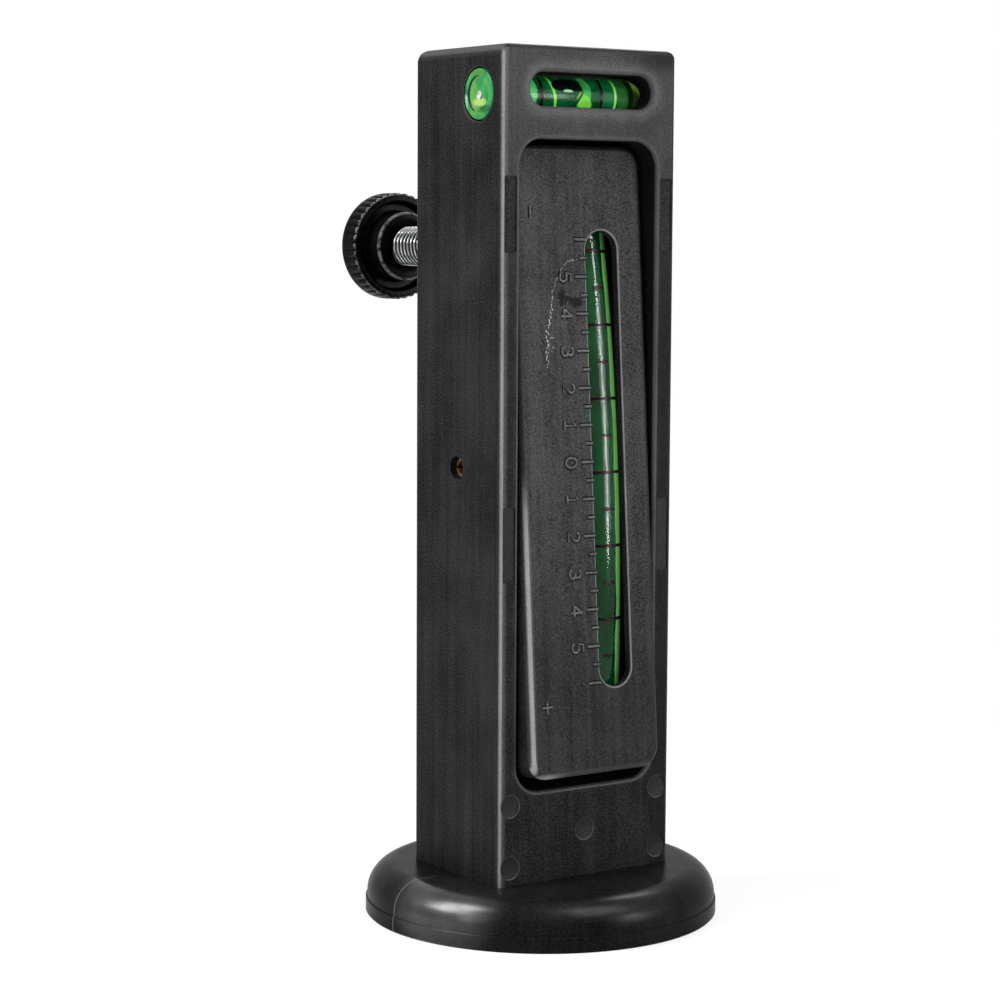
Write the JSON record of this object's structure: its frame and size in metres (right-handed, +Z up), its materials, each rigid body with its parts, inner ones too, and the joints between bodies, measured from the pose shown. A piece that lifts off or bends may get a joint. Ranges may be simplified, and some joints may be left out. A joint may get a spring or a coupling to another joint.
{
  "type": "camber caster gauge",
  "caption": "Upright magnetic wheel alignment gauge with a tilting curved-vial scale, a cross level and a zeroing thumbscrew.",
  "frame": {"origin": "centre of the round foot's underside, at the mouth of the recess in the ring magnet", "axes": "+Z up along the column, -Y out of the scale face, -X out of the cross level's round head, +Y towards the thumbscrew"},
  "size_m": [0.068, 0.0908, 0.165],
  "materials": {
    "housing_plastic": "matte moulded, fine grain",
    "scale_plastic": "matte moulded, lightly worn",
    "carrier_plastic": "matte moulded",
    "knob_plastic": "glossy moulded with a fine knurl",
    "clear_acrylic": "polished clear green",
    "green_spirit": "clear green liquid",
    "air": "clear",
    "plug_acrylic": "moulded green",
    "black_ink": "printed",
    "brass": "turned",
    "pin_bronze": "rolled spring strip",
    "zinc_steel": "bright zinc plated",
    "spring_steel": "bright drawn wire",
    "cup_steel": "nickel plated",
    "ferrite": "ground dark grey ceramic",
    "cap_nylon": "natural nylon"
  },
  "bodies": {
    "base": {"housing": "housing_plastic", "pivot_pin": "pin_bronze", "level_body": "clear_acrylic", "level_fluid": "green_spirit", "level_bubble": "air", "level_plug": "plug_acrylic", "level_lines": "black_ink", "threaded_insert": "brass", "return_spring": "spring_steel", "magnet_cup": "cup_steel", "ring_magnet": "ferrite", "magnet_screw": "zinc_steel"},
    "cradle": {"scale_plate": "scale_plastic", "vial_carrier": "carrier_plastic", "carrier_screws": "zinc_steel", "camber_vial_tube": "clear_acrylic", "camber_vial_fluid": "green_spirit", "camber_vial_air": "air", "camber_vial_plugs": "plug_acrylic", "camber_vial_lines": "black_ink"},
    "pusher": {"thrust_cap": "cap_nylon"},
    "adjuster": {"adjusting_screw": "zinc_steel", "knob": "knob_plastic"}
  },
  "joints": [
    {"name": "cradle_tilt", "type": "hinge", "parent": "base", "child": "cradle", "pos_m": [0, 0, 0.087], "axis": [1, 0, 0], "range_deg": [-0.9, 9.1], "deforming": ["return_spring"]},
    {"name": "screw_travel", "type": "slide", "parent": "base", "child": "pusher", "axis": [0, -1, 0], "range_m": [-0.00065, 0.00652]},
    {"name": "knob_turn", "type": "hinge", "parent": "pusher", "child": "adjuster", "pos_m": [0, 0.0485, 0.128], "axis": [0, -1, 0], "range_deg": [-185, 1875]}
  ],
  "couplings": [
    {"joint": "screw_travel", "follows": "knob_turn", "m_per_rad": 0.00019894},
    {"joint": "cradle_tilt", "follows": "knob_turn", "ratio": 0.0048523}
  ]
}
